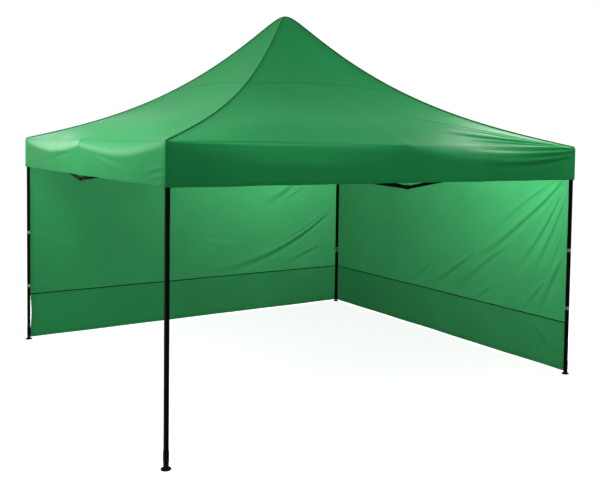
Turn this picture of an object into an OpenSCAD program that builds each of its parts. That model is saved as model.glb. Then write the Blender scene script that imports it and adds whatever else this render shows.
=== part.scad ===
// Pop up canopy: folding scissor frame on four telescopic legs, a cover with a hanging valance
// and two cloth walls. Millimetres, +Z up, origin on the floor under the middle, front towards -Y.

/* [Overall] */
// middle of the canopy to the axis of each leg, along a side
half_span = 1975; // [1600:5:2200]
// height of the pivots in the corner brackets
top_pivot_z = 2073; // [1900:1:2300]
// how far a bar drops from its upper pivot to its lower one when the frame is open
bar_rise = 258; // [150:1:420]
// share of a bar between the leg, or the hub, and the rivet where two bars cross
cross_share = 0.4125; // [0.35:0.0025:0.5]
// height of the roof's peak
peak_z = 3391; // [2800:1:3800]

/* [Bars and brackets] */
// thickness of a flat bar tube
bar_t = 12; // [8:0.5:18]
// height of a flat bar tube
bar_h = 25; // [16:0.5:34]
// wall of a bar tube
bar_wall = 0.8; // [0.6:0.1:2]
// bar beyond its end pivot
bar_end = 10; // [6:0.5:14]
// distance of each of two crossing bars from the plane between them
plane_off = 7; // [6.5:0.25:9]
// pivot pin radius
pin_r = 3; // [2:0.25:5]
// running clearance of a pin in its hole
pin_clear = 0.05; // [0.02:0.01:0.1]
// clevis cheek thickness
cheek_t = 4; // [3:0.5:6]
// clevis cheek height
cheek_h = 20; // [14:1:28]
// gap between a bar and a cheek
cheek_gap = 0.5; // [0.3:0.1:1]
// pivot distance from the leg axis
leg_lug = 44; // [38:1:60]
// side pivot distance from the middle of a joiner
joiner_lug = 30; // [26:1:40]
// pivot distance from the middle of a hub
hub_lug = 38; // [34:1:50]

/* [Legs] */
// outer leg tube width
outer_w = 27; // [25:1:50]
// inner leg tube width
inner_w = 22; // [18:1:42]
// leg tube wall
leg_wall = 1; // [0.8:0.1:2.5]
// top of the corner bracket
bracket_top = 2133; // [1950:1:2400]
// bottom end of the outer tube
outer_bottom = 78; // [60:1:400]
// top end of the inner tube
inner_top = 900; // [500:5:1200]
// radius of the round foot plate
foot_r = 34; // [30:1:50]
// foot plate thickness
foot_t = 8; // [4:0.5:14]
// radius of the peg hole in a foot plate
peg_r = 4.5; // [3:0.25:6]

/* [Mast] */
// mast radius
mast_r = 14; // [10:0.5:20]
// radius of the round cap under the peak
cap_r = 46; // [25:1:70]

/* [Cloth] */
// outer face of the valance from the leg axis
cover_out = 26; // [24:0.5:40]
// height of the corner of the eave
eave_z = 2147; // [1950:1:2400]
// fall of the hips in a straight line
hip_fall = 600; // [300:10:1200]
// how sharply the hips turn up towards the peak
hip_power = 2.85; // [1.5:0.05:4]
// size of the rounded crown, as a share of half the cover
crown_share = 0.049; // [0.02:0.001:0.1]
// height of the valance hem
hem_z = 1850; // [1700:1:2100]
// thickness of the cloth solids
cloth_t = 1; // [1:0.25:3]
// how far the eave is drawn in between its supports
eave_pull = 120; // [0:5:140]
// inner face of a wall from the leg axis
wall_in = 21; // [20:0.5:30]
// top edge of a wall, behind the valance
wall_top = 1990; // [1870:5:2050]
// bottom edge of a wall
wall_bottom = 15; // [5:1:80]
// depth of the folds in a wall
wall_fold = 7; // [0:1:30]

/* [Hidden] */
$fn = 32;
arm_lug = leg_lug + joiner_lug - hub_lug;
run = half_span - leg_lug - joiner_lug;
bar_len = sqrt(run * run + bar_rise * bar_rise);
tilt = atan2(bar_rise, run);
cross_at = cross_share * bar_len;
low_joiner_z = top_pivot_z - bar_rise;
slider_z = top_pivot_z - 2 * cross_share * bar_rise;
up_joiner_z = slider_z + bar_rise;
hole_r = pin_r + pin_clear;
cheek_mid = bar_t / 2 + cheek_gap + cheek_t / 2;
pin_half = bar_t / 2 + cheek_gap + cheek_t + 0.3;
outer_half = outer_w / 2;
inner_half = inner_w / 2;
sleeve_half = 21;
bracket_half = 19;
collar_half = outer_half + 1.8;
collar_low = 48.5;
button_z = 63;
cover_half = half_span + cover_out;
hip_hollow = (peak_z - eave_z - hip_fall * (1 - crown_share)) / pow(1 - crown_share, hip_power);
black = [0.06, 0.06, 0.065];
steel = [0.62, 0.63, 0.65];
cloth = [0.16, 0.5, 0.28];

// A box from its low corner to its high corner.
module span_box(lo, hi) {
  translate(lo) cube(hi - lo);
}

// A square tube from z0 to z1, open at both ends.
module square_tube(half, wall, z0, z1) {
  difference() {
    span_box([-half, -half, z0], [half, half, z1]);
    span_box([wall - half, wall - half, z0 - 1], [half - wall, half - wall, z1 + 1]);
  }
}

// The side or the corner number i: everything is drawn at the front and turned by quarter turns.
module side(i) {
  rotate([0, 0, 90 * i]) children();
}

// The corner at the front left, turned to corner i, with its leg axis as local origin.
module corner(i) {
  rotate([0, 0, 90 * i]) translate([-half_span, -half_span, 0]) children();
}

// A flat bar tube along +X, with its three pivot holes.
module bar_tube() {
  difference() {
    span_box([-bar_end, -bar_t / 2, -bar_h / 2], [bar_len + bar_end, bar_t / 2, bar_h / 2]);
    span_box([-bar_end - 1, bar_wall - bar_t / 2, bar_wall - bar_h / 2],
             [bar_len + bar_end + 1, bar_t / 2 - bar_wall, bar_h / 2 - bar_wall]);
    for (x = [0, cross_at, bar_len])
      translate([x, 0, 0]) rotate([90, 0, 0]) cylinder(r = hole_r, h = bar_t + 2, center = true);
  }
}

// The rivet where two bars cross, on the bar that carries it. The other bar lies to +Y when s is 1.
module cross_rivet(s) {
  translate([cross_at, s * plane_off, 0]) rotate([90, 0, 0]) {
    cylinder(r = pin_r, h = 2 * (plane_off + bar_t / 2) + 1.2, center = true);
    cylinder(r = 8, h = 1.4, center = true);
    for (e = [-1, 1])
      translate([0, 0, e * (plane_off + bar_t / 2 + 1.4)]) cylinder(r = 6, h = 2, center = true);
  }
}

// Two cheeks along +X from r0 to the pivot at rp, around a bar whose middle plane is at y = yc.
module clevis(r0, rp, yc) {
  for (s = [-1, 1])
    translate([0, yc + s * cheek_mid, 0])
      difference() {
        union() {
          span_box([r0, -cheek_t / 2, -cheek_h / 2], [rp, cheek_t / 2, cheek_h / 2]);
          translate([rp, 0, 0]) rotate([90, 0, 0]) cylinder(r = cheek_h / 2, h = cheek_t, center = true);
        }
        translate([rp, 0, 0]) rotate([90, 0, 0]) cylinder(r = hole_r, h = cheek_t + 2, center = true);
      }
}

// The pivot pin of a clevis, with a head at each end.
module clevis_pin(rp, yc) {
  translate([rp, yc, 0]) rotate([90, 0, 0]) {
    cylinder(r = pin_r, h = 2 * pin_half + 0.4, center = true);
    for (e = [-1, 1])
      translate([0, 0, e * (pin_half + 0.9)]) cylinder(r = 5.5, h = 1.8, center = true);
  }
}

// Upper hub at the centre: four clevises around a bore that guides the mast.
module upper_hub() {
  color(black) translate([0, 0, top_pivot_z]) difference() {
    union() {
      translate([0, 0, -18]) cylinder(r = sleeve_half, h = 40);
      for (i = [0:3]) side(i) rotate([0, 0, -90]) clevis(mast_r + 2, hub_lug, -plane_off);
    }
    translate([0, 0, -19]) cylinder(r = mast_r + 0.4, h = 42);
  }
  color(steel) for (i = [0:3])
    side(i) translate([0, 0, top_pivot_z]) rotate([0, 0, -90]) clevis_pin(hub_lug, -plane_off);
}

// Lower hub: four clevises around an open cup that the mast stands in.
module lower_hub() {
  color(black) translate([0, 0, slider_z]) difference() {
    union() {
      translate([0, 0, -16]) cylinder(r = sleeve_half, h = 34);
      for (i = [0:3]) side(i) rotate([0, 0, -90]) clevis(mast_r + 2, hub_lug, plane_off);
    }
    translate([0, 0, -10]) cylinder(r = mast_r + 0.6, h = 40);
  }
  color(steel) for (i = [0:3])
    side(i) translate([0, 0, slider_z]) rotate([0, 0, -90]) clevis_pin(hub_lug, plane_off);
}

// Mast: a round tube from the cup of the lower hub through the upper hub to the cap.
module mast() {
  color(black) difference() {
    translate([0, 0, slider_z - 9.5]) cylinder(r = mast_r, h = peak_z - 74 - slider_z + 9.5);
    translate([0, 0, slider_z - 10]) cylinder(r = mast_r - 1.5, h = peak_z - 70 - slider_z + 10);
  }
}

// Cap: a round dome with a socket, so that the mast's end does not wear through the peak.
module mast_cap() {
  color(black) difference() {
    union() {
      translate([0, 0, peak_z - 92]) cylinder(r = mast_r + 5, h = 60);
      translate([0, 0, peak_z - 54]) intersection() {
        scale([1, 1, 0.9]) sphere(r = cap_r);
        cylinder(r = cap_r + 1, h = cap_r);
      }
    }
    translate([0, 0, peak_z - 93]) cylinder(r = mast_r + 0.3, h = 20);
  }
}

// Arm bar that falls from the upper hub to a lower joiner, with the crossing rivet.
module arm_fall(i) {
  side(i) translate([-plane_off, -hub_lug, top_pivot_z]) rotate([0, 0, -90]) rotate([0, tilt, 0]) {
    color(black) bar_tube();
    color(steel) cross_rivet(1);
  }
}

// Arm bar that rises from the lower hub to an upper joiner.
module arm_rise(i) {
  side(i) translate([plane_off, -hub_lug, slider_z]) rotate([0, 0, -90]) rotate([0, -tilt, 0])
    color(black) bar_tube();
}

// Lower joiner in the middle of a side: two side clevises and one towards the centre.
module lower_joiner(i) {
  side(i) translate([0, -half_span, low_joiner_z]) {
    color(black) union() {
      span_box([-12, -17.5, -18], [12, 15, 15]);
      span_box([-17.5, 1.5, -10], [12, 15, 10]);
      for (q = [0, 1]) mirror([q, 0, 0]) clevis(10, joiner_lug, -plane_off);
      rotate([0, 0, 90]) clevis(6, arm_lug, plane_off);
    }
    color(steel) for (q = [0, 1]) mirror([q, 0, 0]) clevis_pin(joiner_lug, -plane_off);
    color(steel) rotate([0, 0, 90]) clevis_pin(arm_lug, plane_off);
  }
}

// Upper joiner in the middle of a side, under the eave.
module upper_joiner(i) {
  side(i) translate([0, -half_span, up_joiner_z]) {
    color(black) union() {
      span_box([-12, -15, -14], [12, 17.5, 14]);
      for (q = [0, 1]) mirror([q, 0, 0]) clevis(10, joiner_lug, plane_off);
      rotate([0, 0, 90]) clevis(14, arm_lug, -plane_off);
    }
    color(steel) for (q = [0, 1]) mirror([q, 0, 0]) clevis_pin(joiner_lug, plane_off);
    color(steel) rotate([0, 0, 90]) clevis_pin(arm_lug, -plane_off);
  }
}

// Side bar that falls from a corner bracket to the lower joiner.
// q is 0 for the bar at the side's first corner and 1 for the one at its second.
module side_fall(i, q) {
  side(i) mirror([q, 0, 0])
    translate([leg_lug - half_span, -half_span - plane_off, top_pivot_z]) rotate([0, tilt, 0]) {
      color(black) bar_tube();
      color(steel) cross_rivet(1);
    }
}

// Side bar that rises from a slider to the upper joiner.
module side_rise(i, q) {
  side(i) mirror([q, 0, 0])
    translate([leg_lug - half_span, plane_off - half_span, slider_z]) rotate([0, -tilt, 0])
      color(black) bar_tube();
}

// Outer leg: tube, corner bracket with two clevises and their pins, and the collar at the lower end.
module outer_leg(i) {
  corner(i) {
    color(black) square_tube(outer_half, leg_wall, outer_bottom, bracket_top - 4);
    color(black) difference() {
      union() {
        span_box([-bracket_half, -bracket_half, top_pivot_z - 28], [bracket_half, bracket_half, bracket_top]);
        translate([0, 0, top_pivot_z]) clevis(outer_half + 2, leg_lug, -plane_off);
        translate([0, 0, top_pivot_z]) rotate([0, 0, 90]) clevis(outer_half + 2, leg_lug, plane_off);
      }
      span_box([-outer_half - 0.2, -outer_half - 0.2, top_pivot_z - 29],
               [outer_half + 0.2, outer_half + 0.2, bracket_top - 3.5]);
    }
    color(steel) translate([0, 0, top_pivot_z]) clevis_pin(leg_lug, -plane_off);
    color(steel) translate([0, 0, top_pivot_z]) rotate([0, 0, 90]) clevis_pin(leg_lug, plane_off);
    color(black) difference() {
      span_box([-collar_half, -collar_half, collar_low], [collar_half, collar_half, outer_bottom + 48]);
      span_box([-inner_half - 0.4, -inner_half - 0.4, collar_low - 1],
               [inner_half + 0.4, inner_half + 0.4, outer_bottom]);
      span_box([-outer_half - 0.2, -outer_half - 0.2, outer_bottom - 0.5],
               [outer_half + 0.2, outer_half + 0.2, outer_bottom + 49]);
      translate([0, 0, button_z]) rotate([90, 0, 0]) cylinder(r = 5.05, h = collar_half + 1);
    }
  }
}

// Inner leg: tube with height holes and the round foot plate with its socket and a peg hole.
module inner_leg(i) {
  corner(i) {
    color(black) difference() {
      square_tube(inner_half, leg_wall, foot_t + 2, inner_top);
      for (k = [0:3])
        translate([0, 0, button_z + 100 * k]) rotate([90, 0, 0]) cylinder(r = 4, h = inner_half + 1);
    }
    color(black) difference() {
      union() {
        cylinder(r = foot_r, h = foot_t);
        span_box([-inner_half - 3, -inner_half - 3, foot_t - 1],
                 [inner_half + 3, inner_half + 3, collar_low - 0.5]);
      }
      span_box([-inner_half - 0.15, -inner_half - 0.15, foot_t + 1],
               [inner_half + 0.15, inner_half + 0.15, collar_low + 1]);
      translate([18, 18, -1]) cylinder(r = peg_r, h = foot_t + 2);
    }
  }
}

// Slider: a square sleeve with two clevises, which runs on the outer leg.
module slider(i) {
  corner(i) translate([0, 0, slider_z]) {
    color(black) difference() {
      union() {
        span_box([-sleeve_half, -sleeve_half, -14], [sleeve_half, sleeve_half, 46]);
        clevis(outer_half + 2, leg_lug, plane_off);
        rotate([0, 0, 90]) clevis(outer_half + 2, leg_lug, -plane_off);
      }
      span_box([-outer_half - 0.5, -outer_half - 0.5, -15], [outer_half + 0.5, outer_half + 0.5, 47]);
      translate([0, -8.5, 31]) rotate([0, 90, 0]) cylinder(r = hole_r, h = sleeve_half + 1);
    }
    color(steel) clevis_pin(leg_lug, plane_off);
    color(steel) rotate([0, 0, 90]) clevis_pin(leg_lug, -plane_off);
  }
}

// Slider lock: a pull pin with a knob, in the wall of the slider.
module slider_lock(i) {
  corner(i) translate([0, -8.5, slider_z + 31]) rotate([0, 90, 0]) {
    color(steel) translate([0, 0, outer_half + 0.8]) cylinder(r = pin_r, h = sleeve_half - outer_half + 2);
    color(black) translate([0, 0, sleeve_half + 0.8]) cylinder(r = 6, h = 11);
  }
}

// Leg button: a push button in the collar, over a height hole of the inner leg.
module leg_button(i) {
  corner(i) color(steel) translate([0, 0, button_z]) rotate([90, 0, 0])
    translate([0, 0, inner_half + 2.5]) cylinder(r = 5, h = 4.6);
}

// Height of the roof on its hips, at the share v of the way from the peak to the eave.
// The cloth hangs in a hollow line between the eave and the crown, which is rounded over the mast's cap.
function hip_z(v) =
  let (e = min(1, sqrt(v * v + crown_share * crown_share)))
  eave_z + hip_fall * (1 - e) + hip_hollow * pow(1 - e, hip_power);

// How strongly the eave is drawn in at the share u of a side, 0 over a leg and over the middle joiner.
function pull_at(u) = eave_pull * pow(sin(180 * u), 2);

// One point of the cover on the front side: u from -1 to 1 along the side, row r from the peak down.
roof_rows = 8;
cover_rows = roof_rows + 3;
side_cols = 12;
function row_share(r) = 0.02 + 0.98 * pow(r / roof_rows, 1.6);
function sag(u, v) = (1 - u * u) * 0.022 * sin(180 * v);
function roof_point(u, v) =
  let (h = v * cover_half)
  [u * h, -h * (1 - sag(u, v)) + pull_at(u) * pow(v, 6), hip_z(v)];
function valance_drop(k) = k == 1 ? 0.16 : k == 2 ? 0.5 : 1;
function valance_point(u, k) =
  let (w = valance_drop(k))
  [u * cover_half, -cover_half + pull_at(u) * (k == 1 ? 0.33 : 0),
   eave_z + (hem_z - eave_z) * w];
function cover_point(u, r) =
  r <= roof_rows ? roof_point(u, row_share(r)) : valance_point(u, r - roof_rows);
function turned(p, i) =
  i == 0 ? p : i == 1 ? [-p[1], p[0], p[2]] : i == 2 ? [-p[0], -p[1], p[2]] : [p[1], -p[0], p[2]];
// The inner face lies one cloth thickness inside the outer one, and under it on the roof.
function inside(p, r) =
  let (m = max(abs(p[0]), abs(p[1])), k = (m - min(cloth_t, m / 2)) / m)
  [p[0] * k, p[1] * k, p[2] - (r <= roof_rows ? cloth_t : 0)];

// Cover: four concave gores, a drawn-in eave and a straight valance, open below.
module canopy_cover() {
  ring = 4 * side_cols;
  outer = [for (r = [0:cover_rows]) for (i = [0:3]) for (c = [0:side_cols - 1])
    turned(cover_point(2 * c / side_cols - 1, r), i)];
  inner = [for (r = [0:cover_rows]) for (i = [0:3]) for (c = [0:side_cols - 1])
    inside(turned(cover_point(2 * c / side_cols - 1, r), i), r)];
  n = len(outer);
  skin = [for (r = [0:cover_rows - 1]) for (c = [0:ring - 1]) for (h = [0, 1])
    let (a = r * ring + c, b = r * ring + (c + 1) % ring)
    h == 0 ? [a, b, b + ring] : [a, b + ring, a + ring]];
  lining = [for (f = skin) [f[2] + n, f[1] + n, f[0] + n]];
  hem = [for (c = [0:ring - 1]) for (h = [0, 1])
    let (a = cover_rows * ring + c, b = cover_rows * ring + (c + 1) % ring)
    h == 0 ? [a, b, b + n] : [a, b + n, a + n]];
  tip = [[0, 0, peak_z], [0, 0, peak_z - cloth_t]];
  crown = [for (c = [0:ring - 1]) [2 * n, (c + 1) % ring, c]];
  crown_in = [for (c = [0:ring - 1]) [2 * n + 1, c + n, (c + 1) % ring + n]];
  faces = concat(skin, lining, hem, crown, crown_in);
  color(cloth) polyhedron(points = concat(outer, inner, tip), faces = faces, convexity = 6);
}

// Folds of a wall: shallow waves that lean away from the upper corners and die out at the top edge.
function fold_depth(x, z) =
  wall_fold * (1 - min(1, max(0, (z - 1300) / 420)))
  * (0.5 + 0.3 * sin(0.19 * x + 0.07 * z) + 0.2 * sin(0.31 * x - 0.11 * z + 70));

// One hanging wall on the front side, from one end to the other along x.
// A strap goes around each leg at the given heights.
module wall(first_end, second_end, first_straps, second_straps) {
  cols = 30;
  rows = 12;
  strap_in = outer_half + 0.4;
  function spot(c, r, face) =
    let (x = first_end + (second_end - first_end) * c / cols,
         z = wall_top + (wall_bottom - wall_top) * r / rows)
    [x, -half_span - wall_in - face * 1.5 - fold_depth(x, z), z];
  near = [for (r = [0:rows]) for (c = [0:cols]) spot(c, r, 0)];
  far = [for (r = [0:rows]) for (c = [0:cols]) spot(c, r, 1)];
  k = cols + 1;
  n = len(near);
  front_faces = [for (r = [0:rows - 1]) for (c = [0:cols - 1]) for (h = [0, 1])
    let (a = r * k + c)
    h == 0 ? [a, a + 1, a + 1 + k] : [a, a + 1 + k, a + k]];
  back_faces = [for (f = front_faces) [f[2] + n, f[1] + n, f[0] + n]];
  loop = concat([for (c = [0:cols - 1]) c], [for (r = [0:rows - 1]) r * k + cols],
    [for (c = [cols:-1:1]) rows * k + c], [for (r = [rows:-1:1]) r * k]);
  edge = [for (j = [0:len(loop) - 1]) for (h = [0, 1])
    let (a = loop[j], b = loop[(j + 1) % len(loop)])
    h == 0 ? [a, b + n, b] : [a, a + n, b + n]];
  shown = [for (f = concat(front_faces, back_faces, edge)) [f[2], f[1], f[0]]];
  color(cloth) polyhedron(points = concat(near, far), faces = shown, convexity = 6);
  for (q = [0, 1])
    for (z = q == 0 ? first_straps : second_straps)
      color(cloth) mirror([q, 0, 0]) translate([-half_span, -half_span, z]) difference() {
        union() {
          span_box([-strap_in - 2, -strap_in - 2, -15], [strap_in + 2, strap_in + 2, 15]);
          span_box([strap_in, -strap_in - 2, -15], [40, -strap_in - 0.6, 15]);
        }
        span_box([-strap_in, -strap_in, -16], [strap_in, strap_in, 16]);
      }
}

// The two walls come close to each other behind the leg that they share.
wall_end = half_span - 25;
wall_corner = half_span + 10;

// Wall at the back, strapped to the two rear legs.
module back_wall() {
  side(2) wall(-wall_corner, wall_end, [725], [578, 1148]);
}

// Wall at the right, strapped to the rear and the front right leg.
module right_wall() {
  side(1) wall(-wall_end, wall_corner, [630, 1180], [690]);
}

upper_hub();
lower_hub();
mast();
mast_cap();
arm_fall(0);  // arm_fall_front
arm_fall(1);  // arm_fall_right
arm_fall(2);  // arm_fall_back
arm_fall(3);  // arm_fall_left
arm_rise(0);  // arm_rise_front
arm_rise(1);  // arm_rise_right
arm_rise(2);  // arm_rise_back
arm_rise(3);  // arm_rise_left
lower_joiner(0);  // lower_joiner_front
lower_joiner(1);  // lower_joiner_right
lower_joiner(2);  // lower_joiner_back
lower_joiner(3);  // lower_joiner_left
upper_joiner(0);  // upper_joiner_front
upper_joiner(1);  // upper_joiner_right
upper_joiner(2);  // upper_joiner_back
upper_joiner(3);  // upper_joiner_left
side_fall(0, 0);  // front_fall_a
side_fall(1, 0);  // right_fall_a
side_fall(2, 0);  // back_fall_a
side_fall(3, 0);  // left_fall_a
side_fall(0, 1);  // front_fall_b
side_fall(1, 1);  // right_fall_b
side_fall(2, 1);  // back_fall_b
side_fall(3, 1);  // left_fall_b
side_rise(0, 0);  // front_rise_a
side_rise(1, 0);  // right_rise_a
side_rise(2, 0);  // back_rise_a
side_rise(3, 0);  // left_rise_a
side_rise(0, 1);  // front_rise_b
side_rise(1, 1);  // right_rise_b
side_rise(2, 1);  // back_rise_b
side_rise(3, 1);  // left_rise_b
outer_leg(0);  // outer_leg_front_left
outer_leg(1);  // outer_leg_front_right
outer_leg(2);  // outer_leg_back_right
outer_leg(3);  // outer_leg_back_left
inner_leg(0);  // inner_leg_front_left
inner_leg(1);  // inner_leg_front_right
inner_leg(2);  // inner_leg_back_right
inner_leg(3);  // inner_leg_back_left
slider(0);  // slider_front_left
slider(1);  // slider_front_right
slider(2);  // slider_back_right
slider(3);  // slider_back_left
slider_lock(0);  // slider_lock_front_left
slider_lock(1);  // slider_lock_front_right
slider_lock(2);  // slider_lock_back_right
slider_lock(3);  // slider_lock_back_left
leg_button(0);  // leg_button_front_left
leg_button(1);  // leg_button_front_right
leg_button(2);  // leg_button_back_right
leg_button(3);  // leg_button_back_left
canopy_cover();
back_wall();
right_wall();
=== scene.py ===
import math

import bpy
import numpy as np
from mathutils import Matrix, Vector


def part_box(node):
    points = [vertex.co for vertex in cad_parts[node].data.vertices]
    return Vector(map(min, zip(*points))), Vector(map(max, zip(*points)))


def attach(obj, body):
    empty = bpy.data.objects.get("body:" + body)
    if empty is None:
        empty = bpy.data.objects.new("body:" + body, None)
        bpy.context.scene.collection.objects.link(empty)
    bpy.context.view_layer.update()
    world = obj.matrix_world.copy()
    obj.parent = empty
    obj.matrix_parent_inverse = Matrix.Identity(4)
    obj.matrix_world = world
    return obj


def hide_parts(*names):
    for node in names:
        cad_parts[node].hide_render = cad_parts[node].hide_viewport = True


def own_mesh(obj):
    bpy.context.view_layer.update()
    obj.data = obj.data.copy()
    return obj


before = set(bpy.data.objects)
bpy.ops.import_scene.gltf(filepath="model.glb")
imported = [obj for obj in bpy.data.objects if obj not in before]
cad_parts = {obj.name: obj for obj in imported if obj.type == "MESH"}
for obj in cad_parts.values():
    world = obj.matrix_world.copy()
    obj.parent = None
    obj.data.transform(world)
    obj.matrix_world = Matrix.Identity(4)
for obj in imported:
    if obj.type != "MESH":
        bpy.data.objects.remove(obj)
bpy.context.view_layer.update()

# Camera: it stands off the front left corner with its eye level with the eave, as in the photograph.
# Its place and angles come from the corners, hems and feet of the canopy in the 600 by 488 image.
image_width, image_height = 600, 488
eye = Vector((-3.8211, -6.7141, 2.1480))
yaw, pitch, roll = (math.radians(angle) for angle in (35.3788, 2.7021, 0.9833))
focal_px = 768.54
middle_px = (360.244, 180.381)
sensor = 36.0
ahead = Vector((math.sin(yaw) * math.cos(pitch), math.cos(yaw) * math.cos(pitch), -math.sin(pitch)))
level = Vector((math.cos(yaw), -math.sin(yaw), 0.0))
above = level.cross(ahead)
across = level * math.cos(roll) + above * math.sin(roll)
upright = above * math.cos(roll) - level * math.sin(roll)
camera_data = bpy.data.cameras.new("camera")
camera_data.sensor_fit = "HORIZONTAL"
camera_data.sensor_width = sensor
camera_data.lens = focal_px * sensor / image_width
camera_data.shift_x = 0.5 - middle_px[0] / image_width
camera_data.shift_y = (middle_px[1] - image_height / 2) / image_width
camera = bpy.data.objects.new("camera", camera_data)
camera.matrix_world = Matrix.Translation(eye) @ Matrix((across, upright, -ahead)).transposed().to_4x4()
bpy.context.scene.collection.objects.link(camera)
bpy.context.scene.camera = camera


# Legs, feet, bars and mast: square, flat and round steel tube, cut, drilled and powder coated satin black.
# The tubes rub where they slide, so the paint has faint marks along them, and the feet gather dust.
def place(tree, kind, sockets=None, **options):
    """Adds one node, sets its options, and fills its sockets with values or links."""
    made = tree.nodes.new(kind)
    for key, value in options.items():
        setattr(made, key, value)
    for key, value in (sockets or {}).items():
        if isinstance(value, bpy.types.NodeSocket):
            tree.links.new(value, made.inputs[key])
        else:
            made.inputs[key].default_value = value
    return made


def blank_finish(name):
    """A new material with its tree and its main shader."""
    finish = bpy.data.materials.new(name)
    finish.use_nodes = True
    return finish, finish.node_tree, finish.node_tree.nodes["Principled BSDF"]


def between(tree, value, low, high, to_low, to_high):
    """Maps a value from one range to another, with smooth ends."""
    return place(tree, "ShaderNodeMapRange", {
        "Value": value, "From Min": low, "From Max": high, "To Min": to_low, "To Max": to_high,
    }, interpolation_type="SMOOTHSTEP").outputs["Result"]


def shades(tree, share, dark, light):
    """A colour between two shades."""
    ramp = place(tree, "ShaderNodeValToRGB", {"Fac": share})
    ramp.color_ramp.elements[0].color = (*dark, 1)
    ramp.color_ramp.elements[1].color = (*light, 1)
    return ramp.outputs["Color"]


def mixed(tree, share, first, second):
    """Two colours mixed by a share."""
    made = place(tree, "ShaderNodeMix", data_type="RGBA")
    for socket, value in ((made.inputs[0], share), (made.inputs[6], first), (made.inputs[7], second)):
        if isinstance(value, bpy.types.NodeSocket):
            tree.links.new(value, socket)
        else:
            socket.default_value = value
    return made.outputs[2]


def powder_coat(name, edge):
    """Satin black paint on steel, with orange peel, rub marks along Z and dust near the floor."""
    finish, tree, paint = blank_finish(name)
    where = place(tree, "ShaderNodeTexCoord").outputs["Object"]
    cloud = place(tree, "ShaderNodeTexNoise", {"Vector": where, "Scale": 7.0, "Detail": 3.0}).outputs[0]
    drawn = place(tree, "ShaderNodeMapping", {"Vector": where, "Scale": (240.0, 240.0, 4.0)}).outputs[0]
    marks = place(tree, "ShaderNodeTexNoise", {"Vector": drawn, "Scale": 1.0, "Detail": 2.0}).outputs[0]
    rubbed = between(tree, marks, 0.60, 0.72, 0.0, 0.55)
    paint_colour = shades(tree, cloud, (0.0024, 0.003, 0.0027), (0.0050, 0.006, 0.0055))
    paint_colour = mixed(tree, rubbed, paint_colour, (0.010, 0.011, 0.0105, 1))
    height = place(tree, "ShaderNodeSeparateXYZ", {"Vector": where}).outputs["Z"]
    low_down = between(tree, height, 0.0, 0.05, 0.25, 0.0)
    dust = place(tree, "ShaderNodeMath", {0: low_down, 1: cloud}, operation="MULTIPLY").outputs[0]
    tree.links.new(mixed(tree, dust, paint_colour, (0.060, 0.056, 0.050, 1)), paint.inputs["Base Color"])
    tree.links.new(between(tree, cloud, 0.3, 0.7, 0.33, 0.46), paint.inputs["Roughness"])
    paint.inputs["Specular IOR Level"].default_value = 0.005
    peel = place(tree, "ShaderNodeTexNoise", {"Vector": where, "Scale": 1300.0, "Detail": 1.0}).outputs[0]
    rounded = place(tree, "ShaderNodeBevel", {"Radius": edge}, samples=4).outputs[0]
    bump = place(tree, "ShaderNodeBump", {
        "Height": peel, "Strength": 0.3, "Distance": 0.0001, "Normal": rounded,
    })
    tree.links.new(bump.outputs[0], paint.inputs["Normal"])
    return finish


def dress(node_name, finish):
    """Puts a finish on a node of the frame."""
    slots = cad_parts[node_name].material_slots
    for slot in slots:
        slot.material = finish


bar_paint = powder_coat("satin_black_paint", 0.0009)
painted = ("outer_leg", "inner_leg", "arm_fall", "arm_rise")
for node_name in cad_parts:
    is_side_bar = node_name.endswith(("_fall_a", "_fall_b", "_rise_a", "_rise_b"))
    if node_name.startswith(painted) or is_side_bar or node_name == "mast":
        dress(node_name, bar_paint)


# Hubs, joiners, sliders and the mast cap: injection moulded in black glass-filled nylon.
# The mould leaves a fine grain, and the glass fibres a faint mottle.
def moulded_nylon(name):
    """Matte black nylon with a fine mould grain."""
    finish, tree, plastic = blank_finish(name)
    where = place(tree, "ShaderNodeTexCoord").outputs["Object"]
    mottle = place(tree, "ShaderNodeTexNoise", {"Vector": where, "Scale": 60.0, "Detail": 4.0}).outputs[0]
    black = shades(tree, mottle, (0.003, 0.003, 0.0034), (0.007, 0.007, 0.0074))
    tree.links.new(black, plastic.inputs["Base Color"])
    tree.links.new(between(tree, mottle, 0.3, 0.7, 0.50, 0.64), plastic.inputs["Roughness"])
    plastic.inputs["Specular IOR Level"].default_value = 0.003
    grain = place(tree, "ShaderNodeTexVoronoi", {"Vector": where, "Scale": 900.0}).outputs["Distance"]
    rounded = place(tree, "ShaderNodeBevel", {"Radius": 0.0016}, samples=4).outputs[0]
    bump = place(tree, "ShaderNodeBump", {
        "Height": grain, "Strength": 0.35, "Distance": 0.0002, "Normal": rounded,
    })
    tree.links.new(bump.outputs[0], plastic.inputs["Normal"])
    return finish


nylon = moulded_nylon("black_nylon")
moulded = ("upper_hub", "lower_hub", "lower_joiner", "upper_joiner", "mast_cap")
for node_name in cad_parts:
    is_slider = node_name.startswith("slider_") and not node_name.startswith("slider_lock")
    if node_name.startswith(moulded) or is_slider:
        dress(node_name, nylon)


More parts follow.
